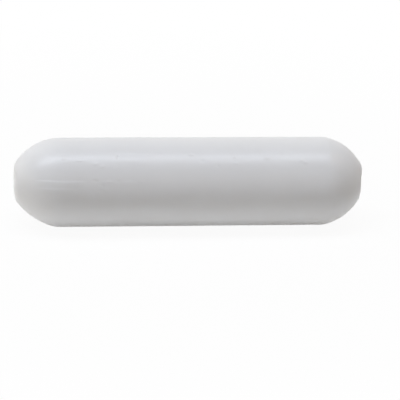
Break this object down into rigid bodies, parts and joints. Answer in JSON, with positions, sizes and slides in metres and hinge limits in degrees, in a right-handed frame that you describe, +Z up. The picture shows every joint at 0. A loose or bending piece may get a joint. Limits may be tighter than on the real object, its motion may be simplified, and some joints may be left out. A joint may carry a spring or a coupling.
{
  "type": "magnetic stir bar",
  "caption": "Plain cylindrical magnetic stir bar with domed ends: a rod magnet sealed in a white fluoropolymer jacket, turned by a magnetic stirrer.",
  "frame": {"origin": "on the surface that the bar lies on, under the middle of its length", "axes": "+X along the bar towards the end with the raised moulding spot, +Z up, -Y towards the side that faces the viewer"},
  "size_m": [0.0382, 0.0096, 0.0097],
  "materials": {
    "jacket_fluoropolymer": "moulded white PTFE, waxy satin, slightly milky, with fine lengthwise mould lines and small handling marks",
    "magnet_alnico": "centreless-ground cast magnet alloy, dull grey"
  },
  "bodies": {
    "root": {"jacket": "jacket_fluoropolymer", "magnet_core": "magnet_alnico"}
  },
  "joints": []
}
